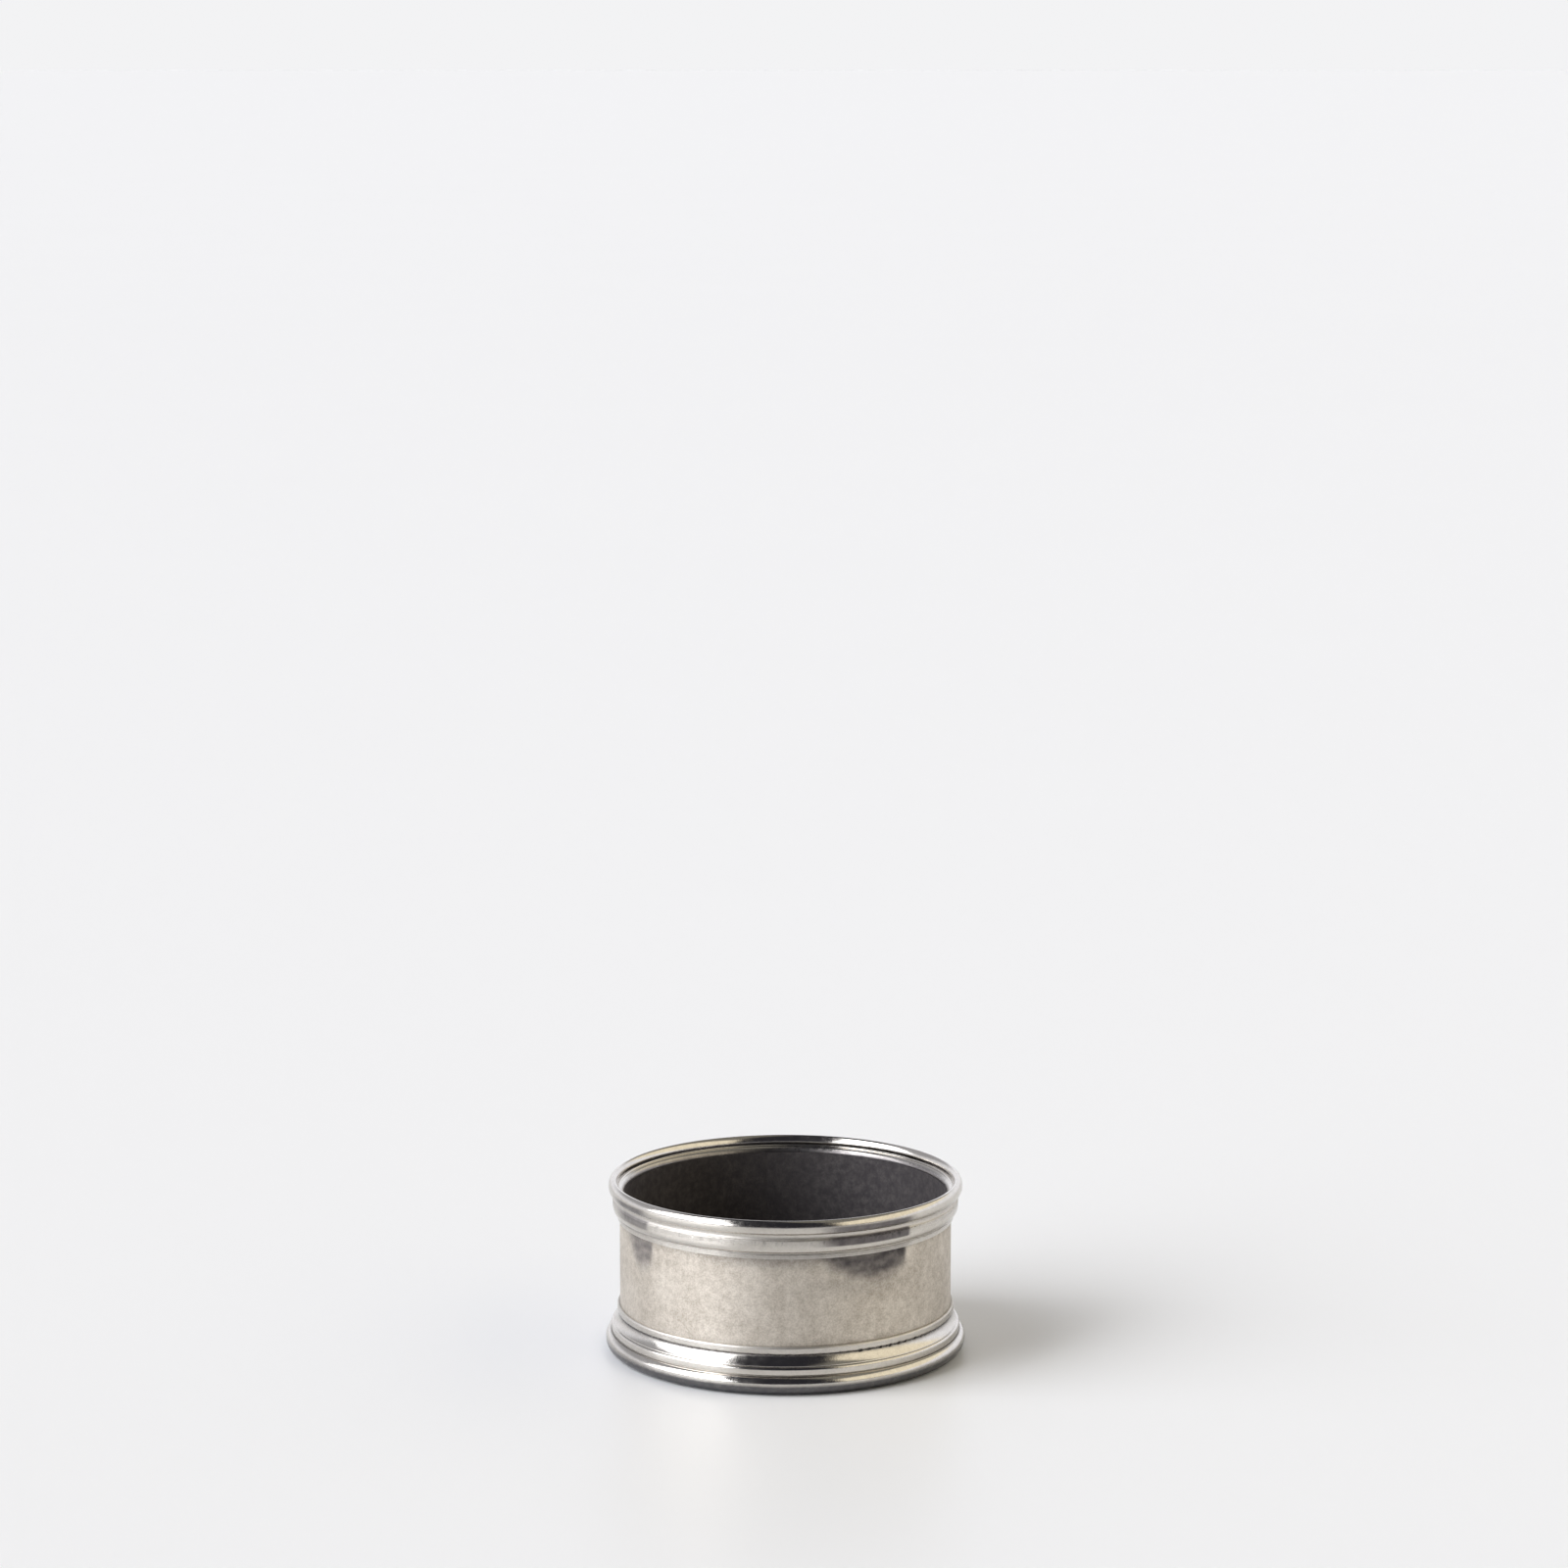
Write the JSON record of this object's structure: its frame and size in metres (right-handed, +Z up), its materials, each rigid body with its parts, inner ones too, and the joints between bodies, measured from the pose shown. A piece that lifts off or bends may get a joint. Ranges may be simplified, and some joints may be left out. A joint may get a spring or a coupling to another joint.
{
  "type": "wine bottle coaster",
  "caption": "Short round pewter coaster: a plain drum between a rolled lip moulding and a stepped foot moulding, with a felt base, to stand a wine bottle in.",
  "frame": {"origin": "centre of the base, on the surface that the coaster stands on", "axes": "+Z up, along the axis that the coaster is turned about; X and Y are alike"},
  "size_m": [0.1002, 0.1002, 0.0483],
  "materials": {
    "pewter_moulding": "turned pewter, polished, with dark pits in the joints",
    "pewter_sheet": "antique pewter, satin, finely mottled",
    "pewter_floor": "turned pewter, dull, with fine rings",
    "felt": "dark green wool felt"
  },
  "bodies": {
    "root": {"lip_moulding": "pewter_moulding", "collar_band": "pewter_moulding", "wall_band": "pewter_sheet", "foot_bead": "pewter_moulding", "foot_moulding": "pewter_moulding", "floor_plate": "pewter_floor", "felt_pad": "felt"}
  },
  "joints": []
}
